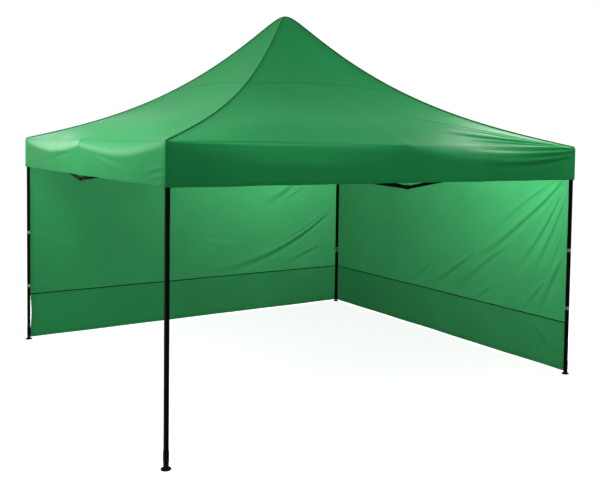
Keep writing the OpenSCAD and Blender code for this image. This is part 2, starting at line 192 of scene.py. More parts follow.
# Lock pins: turned steel, zinc plated, a dull bluish silver with a crystalline cloud.
# Leg buttons: the same steel, blackened in an oil bath. Each is pushed out by a small spring.
def plated_steel(name, dark, light):
    """Plated steel with a soft cloudy shine."""
    finish, tree, metal = blank_finish(name)
    where = place(tree, "ShaderNodeTexCoord").outputs["Object"]
    cloud = place(tree, "ShaderNodeTexNoise", {"Vector": where, "Scale": 180.0, "Detail": 3.0}).outputs[0]
    tree.links.new(shades(tree, cloud, dark, light), metal.inputs["Base Color"])
    tree.links.new(between(tree, cloud, 0.3, 0.7, 0.24, 0.42), metal.inputs["Roughness"])
    metal.inputs["Metallic"].default_value = 1.0
    lathe = place(tree, "ShaderNodeTexNoise", {"Vector": where, "Scale": 2200.0}).outputs[0]
    bump = place(tree, "ShaderNodeBump", {"Height": lathe, "Strength": 0.2, "Distance": 0.00005})
    tree.links.new(bump.outputs[0], metal.inputs["Normal"])
    return finish


zinc = plated_steel("zinc_plated_steel", (0.44, 0.45, 0.47), (0.62, 0.63, 0.65))
blackened = plated_steel("blackened_steel", (0.006, 0.006, 0.007), (0.012, 0.012, 0.013))
for node_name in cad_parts:
    if node_name.startswith("slider_lock"):
        dress(node_name, zinc)
    if node_name.startswith("leg_button"):
        dress(node_name, blackened)


# Rivet heads: each pivot is a blackened steel rivet, closed at both ends into a low dome over a clevis cheek.
# The domes sit on the pin ends of the brackets, sliders, joiners and hubs and on the crossings of the bars.
def tree_with(name, numbers, finish_name):
    """A geometry tree with named number inputs and one finish input."""
    tree = bpy.data.node_groups.new(name, "GeometryNodeTree")
    tree.interface.new_socket("Geometry", in_out="INPUT", socket_type="NodeSocketGeometry")
    for number in numbers:
        tree.interface.new_socket(number, in_out="INPUT", socket_type="NodeSocketFloat")
    tree.interface.new_socket(finish_name, in_out="INPUT", socket_type="NodeSocketMaterial")
    tree.interface.new_socket("Geometry", in_out="OUTPUT", socket_type="NodeSocketGeometry")
    return tree, tree.nodes.new("NodeGroupInput"), tree.nodes.new("NodeGroupOutput")


def made_by(tree, piece, values):
    """Runs a geometry tree on a piece and leaves a plain mesh."""
    maker = piece.modifiers.new(tree.name, "NODES")
    maker.node_group = tree
    for item in tree.interface.items_tree:
        if item.in_out == "INPUT" and item.name in values:
            maker[item.identifier] = values[item.name]
    graph = bpy.context.evaluated_depsgraph_get()
    mesh = bpy.data.meshes.new_from_object(piece.evaluated_get(graph))
    piece.modifiers.remove(maker)
    old = piece.data
    piece.data = mesh
    mesh.name = piece.name
    bpy.data.meshes.remove(old)
    return piece


def rivet_tree():
    """A low dome on every point, turned to the point's axis."""
    tree, given, made = tree_with("rivet_domes", ("Head radius", "Head height"), "Metal")
    radius, height = given.outputs["Head radius"], given.outputs["Head height"]
    size = place(tree, "ShaderNodeCombineXYZ", {"X": radius, "Y": radius, "Z": height})
    ball = place(tree, "GeometryNodeMeshUVSphere", {"Segments": 14, "Rings": 8, "Radius": 1.0})
    axis = place(tree, "GeometryNodeInputNamedAttribute", {"Name": "axis"}, data_type="FLOAT_VECTOR")
    turn = place(tree, "FunctionNodeAlignRotationToVector", {"Vector": axis.outputs["Attribute"]}, axis="Z")
    spread = place(tree, "GeometryNodeInstanceOnPoints", {
        "Points": given.outputs["Geometry"], "Instance": ball.outputs["Mesh"],
        "Rotation": turn.outputs[0], "Scale": size.outputs[0],
    })
    real = place(tree, "GeometryNodeRealizeInstances", {"Geometry": spread.outputs[0]})
    smooth = place(tree, "GeometryNodeSetShadeSmooth", {"Geometry": real.outputs[0]})
    metal = place(tree, "GeometryNodeSetMaterial", {
        "Geometry": smooth.outputs[0], "Material": given.outputs["Metal"],
    })
    tree.links.new(metal.outputs[0], made.inputs["Geometry"])
    return tree


def quarter_turns(points, turns):
    """Points turned about the vertical axis by quarter turns."""
    points = np.asarray(points, float)
    for _ in range(turns % 4):
        points = np.stack([-points[..., 1], points[..., 0], points[..., 2]], -1)
    return points


sides = ("front", "right", "back", "left")
corners = ("front_left", "front_right", "back_right", "back_left")
half_span = 1.975
top_pivot_z, bar_rise, cross_share = 2.073, 0.258, 0.4125
plane_off, bar_t = 0.007, 0.012
leg_lug, joiner_lug, hub_lug = 0.044, 0.030, 0.038
arm_lug = leg_lug + joiner_lug - hub_lug
low_joiner_z = top_pivot_z - bar_rise
slider_z = top_pivot_z - 2 * cross_share * bar_rise
up_joiner_z = slider_z + bar_rise
pin_end, cross_proud = 0.0120, 0.0018
cross_end = plane_off + bar_t / 2 + cross_proud
cross_run = cross_share * (half_span - leg_lug - joiner_lug)
cross_z = top_pivot_z - cross_share * bar_rise
head_radius, head_height = 0.0062, 0.0024
rivet_domes = rivet_tree()


def rivet_heads(body, pins, turns):
    """Domes at both ends of each pin. A pin is its middle, its axis and half its length."""
    spots, axes = [], []
    for middle, axis, reach in pins:
        for way in (-1, 1):
            axes.append(np.array(axis) * way)
            spots.append(np.array(middle) + axes[-1] * reach)
    mesh = bpy.data.meshes.new("rivets_" + body)
    mesh.from_pydata(quarter_turns(spots, turns).tolist(), [], [])
    facing = mesh.attributes.new("axis", "FLOAT_VECTOR", "POINT")
    facing.data.foreach_set("vector", quarter_turns(axes, turns).ravel())
    heads = bpy.data.objects.new("rivets_" + body, mesh)
    bpy.context.scene.collection.objects.link(heads)
    made_by(rivet_domes, heads, {"Head radius": head_radius, "Head height": head_height, "Metal": blackened})
    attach(heads, body)


along_x, along_y = (1, 0, 0), (0, 1, 0)
for turns, side in enumerate(sides):
    corner = corners[turns]
    rivet_heads("outer_leg_" + corner, [
        ((leg_lug - half_span, -half_span - plane_off, top_pivot_z), along_y, pin_end),
        ((-half_span - plane_off, leg_lug - half_span, top_pivot_z), along_x, pin_end),
    ], turns)
    rivet_heads("slider_" + corner, [
        ((leg_lug - half_span, plane_off - half_span, slider_z), along_y, pin_end),
        ((plane_off - half_span, leg_lug - half_span, slider_z), along_x, pin_end),
    ], turns)
    rivet_heads("lower_joiner_" + side, [
        ((-joiner_lug, -half_span - plane_off, low_joiner_z), along_y, pin_end),
        ((joiner_lug, -half_span - plane_off, low_joiner_z), along_y, pin_end),
        ((-plane_off, arm_lug - half_span, low_joiner_z), along_x, pin_end),
    ], turns)
    rivet_heads("upper_joiner_" + side, [
        ((-joiner_lug, plane_off - half_span, up_joiner_z), along_y, pin_end),
        ((joiner_lug, plane_off - half_span, up_joiner_z), along_y, pin_end),
        ((plane_off, arm_lug - half_span, up_joiner_z), along_x, pin_end),
    ], turns)
    rivet_heads("arm_fall_" + side, [((0, -hub_lug - cross_run, cross_z), along_x, cross_end)], turns)
    for end, way in (("a", -1), ("b", 1)):
        middle = (way * (half_span - leg_lug - cross_run), -half_span, cross_z)
        rivet_heads(side + "_fall_" + end, [(middle, along_y, cross_end)], turns)
for hub, height, way in (("upper_hub", top_pivot_z, -1), ("lower_hub", slider_z, 1)):
    hub_pins = []
    for turns in range(4):
        middle = quarter_turns((way * plane_off, -hub_lug, height), turns)
        hub_pins.append((middle, quarter_turns(along_x, turns), pin_end))
    rivet_heads(hub, hub_pins, 0)


# Cover: one sewn roof of coated polyester, stretched from the mast's cap over the legs and middle joiners.
# Between those it draws in, so that the eave rolls over in shallow scallops above a straight hem.
# It is made in half gores, each on the side bar that it folds down with.
cover_low, cover_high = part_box("canopy_cover")
half, hem_z, peak_z = cover_high.x, cover_low.z, cover_high.z
eave_z = 2.147
hip_fall, hip_power, crown_share = 0.600, 2.85, 0.032
hip_hollow = (peak_z - eave_z - hip_fall * (1 - crown_share)) / (1 - crown_share) ** hip_power
# Each pair is for the left and the right half of a side, seen from outside.
eave_pulls = {
    "front": (0.040, 0.030), "right": (0.110, 0.110), "back": (0.110, 0.110), "left": (0.110, 0.110),
}
pull_depths = {
    "front": (0.070, 0.060), "right": (0.150, 0.150), "back": (0.150, 0.150), "left": (0.130, 0.130),
}
hang_slopes = {"front": (0.50, 1.20), "right": (0.0, 0.0), "back": (0.0, 0.0), "left": (0.0, 0.0)}
hang_depths, hang_soft = (0.155, 0.105), 0.014
gore_bends = {"front": 6, "right": 14, "back": 14, "left": 14}
eave_roll, roll_depth = 0.018, 0.055
eave_turn = 0.92
gore_sag, gore_swell = 0.010, 0.030
seam_share, seam_bow = 0.386, 0.040
valance_depth = eave_z - hem_z
hem_turn, hem_height, hem_bend = 0.0016, 0.024, 0.002
ripple_depth, hem_wave = 0.0016, 0.0012
lap_thick, hem_thick = 0.0009, 0.0008
eave_passes, corner_passes = 14, 8


def smooth_step(low, high, value):
    """0 below low, 1 above high, and a smooth curve between them."""
    share = np.clip((value - low) / (high - low), 0, 1)
    return share * share * (3 - 2 * share)


def hip_height(v):
    """Height of the roof at the share v of the way from the peak to the eave."""
    e = np.minimum(1, np.sqrt(v * v + crown_share**2))
    return eave_z + hip_fall * (1 - e) + hip_hollow * (1 - e) ** hip_power


def drawn_in(u, drop, side):
    """How far the cloth lies inside the hem's line, at a distance below the eave."""
    scallop = np.abs(np.sin(np.pi * u)) ** (0.7 + 0.8 * np.abs(u))
    pull = eave_roll * (1 - np.abs(u) ** 10) + (np.where(u < 0, *eave_pulls[side]) - eave_roll) * scallop
    depth = roll_depth + (np.where(u < 0, *pull_depths[side]) - roll_depth) * scallop
    rise = eave_turn * np.clip(1 - drop / depth, 0, 1)
    rolled = pull * (1 - np.sqrt(1 - rise**2)) / (1 - math.sqrt(1 - eave_turn**2))
    to_bend = np.where(u < 0, *hang_depths) * np.sqrt(scallop) - drop
    hung = np.where(u < 0, *hang_slopes[side]) * scallop * hang_soft * np.log1p(np.exp(to_bend / hang_soft))
    return rolled + hung


def roof_at(u, v, side):
    """The front gore: u from -1 to 1 along the side, v from the peak to the eave. Rows dip at the hips."""
    v = v + seam_bow * u * u * 4 * v * (1 - v)
    reach = v * half
    sag = (1 - u * u) * gore_sag * np.sin(np.pi * v)
    inward = drawn_in(u, 0, side) * v ** gore_bends[side]
    return np.stack([u * reach, inward - reach * (1 - sag), hip_height(v)], -1)


def valance_at(u, drop, side):
    """The front valance, at a distance below the eave. Past the hem the cloth turns up inside."""
    turned = np.clip(drop - valance_depth, 0, None)
    inward = drawn_in(u, drop, side) + hem_turn * np.clip(turned / hem_bend, 0, 1)
    height = eave_z - np.minimum(drop, valance_depth) + np.clip(turned - hem_bend, 0, None)
    return np.stack([u * half, inward - half, height], -1)


near_corner = [0, 0.004, 0.008, 0.013, 0.019, 0.026, 0.035, 0.046, 0.059]
from_corner = np.concatenate([near_corner, np.linspace(0.074, half, 124)])
u_line = np.concatenate([from_corner / half - 1, 1 - from_corner[-2::-1] / half])
columns = len(u_line) - 1
near_eave = np.array([0.003, 0.0065, 0.0105, 0.015, 0.020, 0.026, 0.033, 0.041, 0.050])
near_seam = np.array([-0.0050, -0.0036, -0.0030, 0.0, 0.0030, 0.0036, 0.0050]) + seam_share
v_line = np.unique(np.concatenate([np.linspace(0.004, 0.968, 138), near_seam, 1 - near_eave / 2.1, [1.0]]))
hem_line = valance_depth - np.array([0.0285, 0.0255, 0.0240, 0.0225, 0.018, 0.012, 0.006, 0.0015, 0.0])
turn_line = valance_depth + np.array([0.001, 0.002, 0.010, 0.020, hem_height + hem_bend])
drop_line = np.concatenate([near_eave, np.arange(0.060, valance_depth - 0.034, 0.011), hem_line, turn_line])
eave_row = len(v_line) - 1
rest_gores = []
for turns, side in enumerate(sides):
    rest_roof = roof_at(*np.meshgrid(u_line, v_line), side)
    rest_gore = np.concatenate([rest_roof, valance_at(*np.meshgrid(u_line, drop_line), side)])
    rest_gores.append(quarter_turns(rest_gore[:, :-1], turns))
cloth = np.concatenate(rest_gores, axis=1)
mid_slope = np.linalg.norm(np.diff(roof_at(np.zeros(len(v_line)), v_line, "front"), axis=0), axis=1)
slope_run = np.concatenate([[0], np.cumsum(mid_slope)])
slope_length = slope_run[-1]
seam_t = np.interp(seam_share, v_line, slope_run) - slope_length
below_eave = np.concatenate([slope_run - slope_length, drop_line])
row_half = half * np.concatenate([v_line, np.ones(len(drop_line))])
s_grid, t_grid = np.outer(row_half, u_line), np.outer(below_eave, np.ones(columns + 1))
soft_rows = (1 - smooth_step(0.022, 0.060, np.abs(below_eave)))[1:-1, None, None]
for _ in range(eave_passes):
    cloth[1:-1] += 0.5 * soft_rows * ((cloth[:-2] + cloth[2:]) / 2 - cloth[1:-1])
corner_gap = (1 - np.abs(u_line[:-1])) * half
soft_corner = np.tile(1 - smooth_step(0.012, 0.045, corner_gap), 4)[None, :, None]
soft_corner = soft_corner * smooth_step(-0.045, -0.004, below_eave)[:, None, None]
for _ in range(corner_passes):
    cloth += 0.5 * soft_corner * ((np.roll(cloth, 1, 1) + np.roll(cloth, -1, 1)) / 2 - cloth)


def facing(grid):
    """Outward directions of a grid whose rows run down and whose columns run to the right."""
    outward = np.cross(np.gradient(grid, axis=0), np.gradient(grid, axis=1))
    return outward / np.linalg.norm(outward, axis=-1, keepdims=True)


def crease(s, t, start, end, bow, width, depth):
    """A long fold, a ridge beside a valley, which swells after its start and dies out at its end."""
    run_s, run_t = end[0] - start[0], end[1] - start[1]
    length = math.hypot(run_s, run_t)
    share = ((s - start[0]) * run_s + (t - start[1]) * run_t) / length**2
    aside = ((t - start[1]) * run_s - (s - start[0]) * run_t) / length
    inside = np.clip(share, 0, 1)
    aside = aside - bow * 4 * inside * (1 - inside)
    q = aside / (width * (0.45 + 0.9 * inside))
    return depth * np.sin(np.pi * inside**0.6) * q * np.exp(0.5 - q * q / 2)


# Each fold: where it starts and ends, along the side and below the eave, its bow, half width and depth.
corner_folds = (
    ((1.97, -0.030), (0.55, -0.330), 0.030, 0.030, 0.0070),
    ((1.97, -0.012), (0.85, -0.150), 0.020, 0.022, 0.0055),
    ((1.98, 0.004), (0.42, 0.004), -0.016, 0.020, 0.0085),
    ((1.97, 0.030), (0.40, 0.034), -0.050, 0.027, 0.0125),
    ((1.92, 0.085), (0.55, 0.100), -0.050, 0.030, 0.0095),
    ((1.75, -0.190), (0.40, -0.760), 0.010, 0.030, 0.0040),
    ((1.85, -0.120), (0.60, -0.560), 0.010, 0.028, 0.0040),
    ((-1.97, 0.004), (-0.06, 0.012), 0.000, 0.017, 0.0060),
)
hem_folds = (
    ((2.00, 0.185), (1.60, 0.240), 0.010, 0.014, 0.0030),
    ((2.00, 0.242), (1.68, 0.272), 0.006, 0.010, 0.0022),
    ((0.50, 0.125), (1.40, 0.205), 0.012, 0.022, 0.0020),
    ((-0.25, 0.110), (-1.10, 0.200), 0.015, 0.024, 0.0030),
)
mirrored_folds = tuple(((-a, b), (-c, d), *rest) for (a, b), (c, d), *rest in corner_folds)
side_folds = {
    "front": corner_folds, "right": mirrored_folds[1:5],
    "back": corner_folds[2:5] + mirrored_folds[3:4], "left": hem_folds,
}
hip_gap = np.outer(row_half, 1 - np.abs(u_line))
v_rows = row_half[:, None] / half
swell = gore_swell * smooth_step(0, 0.65, hip_gap)
swell = swell * smooth_step(0.45, 0.85, v_rows) * smooth_step(1.0, 0.75, v_rows)
lapped = 1 - smooth_step(0.0080, 0.0092, np.abs(t_grid - seam_t))
hemmed = smooth_step(0.0255, 0.0235, valance_depth - t_grid) * (t_grid <= valance_depth)
gores = {}
for turns, side in enumerate(sides):
    picked = np.arange(turns * columns, (turns + 1) * columns + 1) % (4 * columns)
    flat_gore = cloth[:, picked]
    lift = ripple_depth * np.sin(3.1 * s_grid + 2.3 * t_grid + turns)
    lift = lift * np.sin(2.2 * s_grid - 3.7 * t_grid + 2 * turns)
    lift = lift + hem_wave * (1 + np.sin(11 * s_grid + 1.7 * turns)) * smooth_step(0.05, 0.28, t_grid)
    for fold in side_folds[side]:
        lift = lift + crease(s_grid, t_grid, *fold)
    lift = lift * smooth_step(0.0, 0.06, hip_gap)
    if side in ("back", "right"):
        lift = np.where(t_grid > 0.12, np.maximum(lift, -0.0002), lift)
    lift = lift + swell + lap_thick * lapped + hem_thick * hemmed
    gores[side] = flat_gore + facing(flat_gore) * lift[..., None]


def coated_polyester(name, dark, light, clear, seam_at):
    """Coated woven polyester: a plain weave, a satin coat, small crumples, and some light through it. Painted
    shade darkens the gaps of the weave and a thin line along one seam.
    """
    finish, tree, face = blank_finish(name)
    where = place(tree, "ShaderNodeTexCoord").outputs["Object"]
    flat = place(tree, "ShaderNodeUVMap", uv_map="cloth").outputs[0]
    warp = place(tree, "ShaderNodeTexWave", {"Vector": flat, "Scale": 330.0}, bands_direction="X")
    weft = place(tree, "ShaderNodeTexWave", {"Vector": flat, "Scale": 330.0}, bands_direction="Y")
    threads = {0: warp.outputs["Fac"], 1: weft.outputs["Fac"]}
    weave = place(tree, "ShaderNodeMath", threads, operation="MAXIMUM").outputs[0]
    cloud = place(tree, "ShaderNodeTexNoise", {"Vector": where, "Scale": 1.7, "Detail": 4.0}).outputs[0]
    dye = shades(tree, between(tree, cloud, 0.25, 0.75, 0.0, 1.0), dark, light)
    # Painted shade: the cloth is darkened in the gaps between the threads of the weave.
    painted_shade = (*(0.4 * channel for channel in dark), 1)
    dye = mixed(tree, between(tree, weave, 0.2, 0.9, 0.16, 0.0), dye, painted_shade)
    # Painted shadow: a thin dark line is laid along the seam line given by seam_at, at the gore seam, the
    # eave or the hem.
    down = place(tree, "ShaderNodeSeparateXYZ", {"Vector": flat}).outputs["Y"]
    gap = place(tree, "ShaderNodeMath", {0: down, 1: seam_at}, operation="SUBTRACT").outputs[0]
    gap = place(tree, "ShaderNodeMath", {0: gap}, operation="ABSOLUTE").outputs[0]
    dye = mixed(tree, between(tree, gap, 0.003, 0.009, 0.3, 0.0), dye, painted_shade)
    tree.links.new(dye, face.inputs["Base Color"])
    tree.links.new(between(tree, cloud, 0.3, 0.7, 0.36, 0.43), face.inputs["Roughness"])
    face.inputs["Specular IOR Level"].default_value = 0.014
    face.inputs["Sheen Weight"].default_value = 0.02
    face.inputs["Sheen Roughness"].default_value = 0.5
    crumple = place(tree, "ShaderNodeTexNoise", {"Vector": where, "Scale": 16.0, "Detail": 4.0}).outputs[0]
    soft = place(tree, "ShaderNodeBump", {"Height": crumple, "Strength": 0.3, "Distance": 0.006})
    fine = place(tree, "ShaderNodeBump", {
        "Height": weave, "Strength": 0.25, "Distance": 0.00015, "Normal": soft.outputs[0],
    })
    tree.links.new(fine.outputs[0], face.inputs["Normal"])
    glow = mixed(tree, 0.022, dye, (1, 1, 1, 1))
    through = place(tree, "ShaderNodeBsdfTranslucent", {"Color": glow, "Normal": fine.outputs[0]})
    both = place(tree, "ShaderNodeMixShader", {0: clear, 1: face.outputs[0], 2: through.outputs[0]})
    tree.links.new(both.outputs[0], tree.nodes["Material Output"].inputs["Surface"])
    return finish


def sheet_mesh(name, grid, flat, finish, tip=None):
    """A cloth piece from a grid of points and their flat coordinates in metres, with or without a tip."""
    rows, cols = grid.shape[:2]
    index = np.arange(rows * cols).reshape(rows, cols)
    quads = np.stack([index[:-1, :-1], index[1:, :-1], index[1:, 1:], index[:-1, 1:]], -1)
    faces = quads.reshape(-1, 4).tolist()
    points, unrolled = grid.reshape(-1, 3), flat.reshape(-1, 2)
    if tip is not None:
        faces += [[rows * cols, c, c + 1] for c in range(cols - 1)]
        points, unrolled = np.vstack([points, tip[0]]), np.vstack([unrolled, tip[1]])
    mesh = bpy.data.meshes.new(name)
    mesh.from_pydata(points.tolist(), [], faces)
    mesh.polygons.foreach_set("use_smooth", np.ones(len(faces), bool))
    at_corner = np.empty(len(mesh.loops), np.int32)
    mesh.loops.foreach_get("vertex_index", at_corner)
    layer = mesh.uv_layers.new(name="cloth")
    layer.data.foreach_set("uv", unrolled[at_corner].astype(np.float32).ravel())
    mesh.materials.append(finish)
    piece = bpy.data.objects.new(name, mesh)
    bpy.context.scene.collection.objects.link(piece)
    return piece


def set_facing(piece, outward, last=()):
    """Shades a cloth piece by the directions of the whole gore, so that its halves meet without a line."""
    directions = np.vstack([outward.reshape(-1, 3), *last])
    piece.data.normals_split_custom_set_from_vertices(directions.tolist())


cloth_dark, cloth_light = (0.0125, 0.215, 0.058), (0.0150, 0.240, 0.067)
roof_clear = 0.22
roof_cloth = coated_polyester("green_roof_cloth", cloth_dark, cloth_light, roof_clear, seam_t)
valance_cloth = coated_polyester("green_valance_cloth", cloth_dark, cloth_light, roof_clear, 0.0)
gore_middle = columns // 2
halves = {"a": slice(0, gore_middle + 1), "b": slice(gore_middle, columns + 1)}
flat_cut = np.stack([s_grid, t_grid], -1)
upper, lower = slice(0, eave_row + 1), slice(eave_row, None)
panels, strips = {}, {}


def folds_down(piece, side, end):
    """A piece of the cover goes with its side bar."""
    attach(piece, side + "_fall_" + end)
    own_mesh(piece)


for side in sides:
    gore, outward = gores[side], facing(gores[side])
    for end, part in halves.items():
        tip = ((0, 0, peak_z), (0, -slope_length))
        panel_name = "roof_" + side + "_" + end
        panel = sheet_mesh(panel_name, gore[upper, part], flat_cut[upper, part], roof_cloth, tip)
        set_facing(panel, outward[upper, part], [(0, 0, 1)])
        folds_down(panel, side, end)
        strip_name = "valance_" + side + "_" + end
        strip = sheet_mesh(strip_name, gore[lower, part], flat_cut[lower, part], valance_cloth)
        set_facing(strip, outward[lower, part])
        folds_down(strip, side, end)
        panels[side, end], strips[side, end] = panel, strip
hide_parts("canopy_cover")


# Piping: a filled sleeve of dark green cloth, sewn into each hip seam from the peak to the eave.
# It stands a few millimetres proud of the cloth and draws the hip as a dark line.
def binding_tree():
    """A round or flat band swept along every line of a piece."""
    tree, given, made = tree_with("bound_line", ("Thickness", "Height"), "Cloth")
    line = place(tree, "GeometryNodeMeshToCurve", {"Mesh": given.outputs["Geometry"]})
    level_line = place(tree, "GeometryNodeSetCurveNormal", {"Curve": line.outputs[0]}, mode="Z_UP")
    ring = place(tree, "GeometryNodeCurvePrimitiveCircle", {"Resolution": 12, "Radius": 0.5})
    size = place(tree, "ShaderNodeCombineXYZ", {
        "X": given.outputs["Thickness"], "Y": given.outputs["Height"], "Z": 1.0,
    })
    section = place(tree, "GeometryNodeTransform", {"Geometry": ring.outputs[0], "Scale": size.outputs[0]})
    swept = place(tree, "GeometryNodeCurveToMesh", {
        "Curve": level_line.outputs[0], "Profile Curve": section.outputs[0], "Fill Caps": True,
    })
    real = place(tree, "GeometryNodeRealizeInstances", {"Geometry": swept.outputs[0]})
    smooth = place(tree, "GeometryNodeSetShadeSmooth", {"Geometry": real.outputs[0]})
    dyed = place(tree, "GeometryNodeSetMaterial", {
        "Geometry": smooth.outputs[0], "Material": given.outputs["Cloth"],
    })
    tree.links.new(dyed.outputs[0], made.inputs["Geometry"])
    return tree


def line_piece(name, lines, closed=False):
    """A piece of bare lines, for a tree to follow."""
    points, edges = [], []
    for line in lines:
        first = len(points)
        points += np.asarray(line).tolist()
        edges += [(k, k + 1) for k in range(first, len(points) - 1)]
        if closed:
            edges.append((len(points) - 1, first))
    mesh = bpy.data.meshes.new(name)
    mesh.from_pydata(points, edges, [])
    piece = bpy.data.objects.new(name, mesh)
    bpy.context.scene.collection.objects.link(piece)
    return piece


def ribbed_cloth(name, dark, light, rib_scale):
    """Narrow woven cloth with fine ribs across it."""
    finish, tree, face = blank_finish(name)
    where = place(tree, "ShaderNodeTexCoord").outputs["Object"]
    ribs = place(tree, "ShaderNodeTexWave", {"Vector": where, "Scale": rib_scale}, bands_direction="Z")
    fibre = place(tree, "ShaderNodeTexNoise", {"Vector": where, "Scale": 420.0, "Detail": 2.0}).outputs[0]
    tree.links.new(shades(tree, fibre, dark, light), face.inputs["Base Color"])
    tree.links.new(between(tree, fibre, 0.3, 0.7, 0.62, 0.78), face.inputs["Roughness"])
    face.inputs["Specular IOR Level"].default_value = 0.05
    bump = place(tree, "ShaderNodeBump", {"Height": ribs.outputs["Fac"], "Strength": 0.4, "Distance": 0.0003})
    tree.links.new(bump.outputs[0], face.inputs["Normal"])
    return finish


bound_line = binding_tree()
piping_cloth = ribbed_cloth("dark_green_piping", (0.005, 0.085, 0.023), (0.007, 0.105, 0.029), 210.0)
piping_width, piping_lift = 0.011, 0.0030
for turns, side in enumerate(sides):
    hip_line = np.vstack([[(0, 0, peak_z)], gores[side][:eave_row - 1, 0]])
    away = quarter_turns((-0.35, -0.35, 0.87), turns)
    piping = line_piece("piping_" + corners[turns], [hip_line + away * piping_lift])
    made_by(bound_line, piping, {"Thickness": piping_width, "Height": piping_width, "Cloth": piping_cloth})
    folds_down(piping, side, "a")


# Stitching: double rows of green thread along the hips, the gore seam, the eave and the hem.
# A row is sewn at an even pitch, a little inside each edge.
def stitch_tree():
    """Short stitches of thread along every line of a piece."""
    tree, given, made = tree_with("thread_stitches", ("Pitch", "Length", "Thickness"), "Thread")
    line = place(tree, "GeometryNodeMeshToCurve", {"Mesh": given.outputs["Geometry"]})
    paced = place(tree, "GeometryNodeResampleCurve", {
        "Curve": line.outputs[0], "Length": given.outputs["Pitch"],
    }, mode="LENGTH")
    run = place(tree, "GeometryNodeInputTangent")
    turn = place(tree, "FunctionNodeAlignRotationToVector", {"Vector": run.outputs[0]}, axis="X")
    size = place(tree, "ShaderNodeCombineXYZ", {
        "X": given.outputs["Length"], "Y": given.outputs["Thickness"], "Z": given.outputs["Thickness"],
    })
    thread = place(tree, "GeometryNodeMeshIcoSphere", {"Radius": 0.5, "Subdivisions": 1})
    sewn = place(tree, "GeometryNodeInstanceOnPoints", {
        "Points": paced.outputs[0], "Instance": thread.outputs["Mesh"],
        "Rotation": turn.outputs[0], "Scale": size.outputs[0],
    })
    real = place(tree, "GeometryNodeRealizeInstances", {"Geometry": sewn.outputs[0]})
    dyed = place(tree, "GeometryNodeSetMaterial", {
        "Geometry": real.outputs[0], "Material": given.outputs["Thread"],
    })
    tree.links.new(dyed.outputs[0], made.inputs["Geometry"])
    return tree


thread_stitches = stitch_tree()
thread = ribbed_cloth("green_thread", (0.012, 0.170, 0.045), (0.018, 0.220, 0.060), 900.0)
stitch_sizes = {"Pitch": 0.008, "Length": 0.0056, "Thickness": 0.0011, "Thread": thread}


def stitched(name, lines):
    """Stitches along the given lines."""
    return made_by(thread_stitches, line_piece(name, lines), stitch_sizes)


def row_at(t):
    """The cover's row nearest to a distance below the eave."""
    return int(np.argmin(np.abs(below_eave[:len(v_line) + len(drop_line) - len(turn_line)] - t)))


def beside_hip(gore, gap):
    """A line on a gore that keeps a distance from its first hip."""
    rows = np.flatnonzero(v_line > 0.05)
    places = [[np.interp(gap / row_half[r] - 1, u_line, gore[r, :, k]) for k in range(3)] for r in rows[::2]]
    return np.array(places)


seam_gap, eave_gap, hip_row_gap, thread_lift = 0.006, 0.0065, 0.012, 0.0003
roof_rows = [row_at(seam_t - seam_gap), row_at(seam_t + seam_gap), row_at(-eave_gap)]
valance_rows = [row_at(eave_gap), row_at(valance_depth - 0.0225), row_at(valance_depth - 0.018)]
sewn_on = {}
for side in sides:
    gore = gores[side] + thread_lift * facing(gores[side])
    for end, part in halves.items():
        hip_side = gore if end == "a" else gore[:, ::-1]
        sewn_roof = stitched("stitches_roof_" + side + "_" + end, [
            *(gore[r, part] for r in roof_rows), beside_hip(hip_side, hip_row_gap),
        ])
        folds_down(sewn_roof, side, end)
        sewn_valance = stitched("stitches_valance_" + side + "_" + end, [gore[r, part] for r in valance_rows])
        folds_down(sewn_valance, side, end)
        sewn_on[side, end] = (sewn_roof, sewn_valance)
for (side, end), panel in panels.items():
    sewn_roof, sewn_valance = sewn_on[side, end]


# Walls: two hanging panels of the same cloth behind and to the right, hemmed all round.
# A bound seam joins a closer woven strip along the foot of each. They pull in folds towards the legs, and
# come close to each other behind the leg that they share.
wall_low, wall_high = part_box("back_wall")
wall_top, wall_bottom = wall_high.z, wall_low.z
wall_half, wall_corner, wall_out = 1.957, 1.990, 1.9982
wall_spans = {"back": (-wall_corner, wall_half), "right": (-wall_half, wall_corner)}
wall_seam_z = 0.480
wall_hem = 0.028
edge_steps = np.array([0, 0.002, 0.004, 0.012, 0.020, wall_hem - 0.001, wall_hem + 0.001, 0.040])
plain_rows = np.linspace(wall_top, wall_bottom + 0.045, 128)
plain_rows = plain_rows[np.abs(plain_rows - wall_seam_z) > 0.012]
extra_rows = [wall_seam_z + d for d in (0.010, 0.006, 0.0, -0.006, -0.010)]
wall_z = np.sort(np.concatenate([plain_rows, extra_rows, wall_bottom + edge_steps]))[::-1]
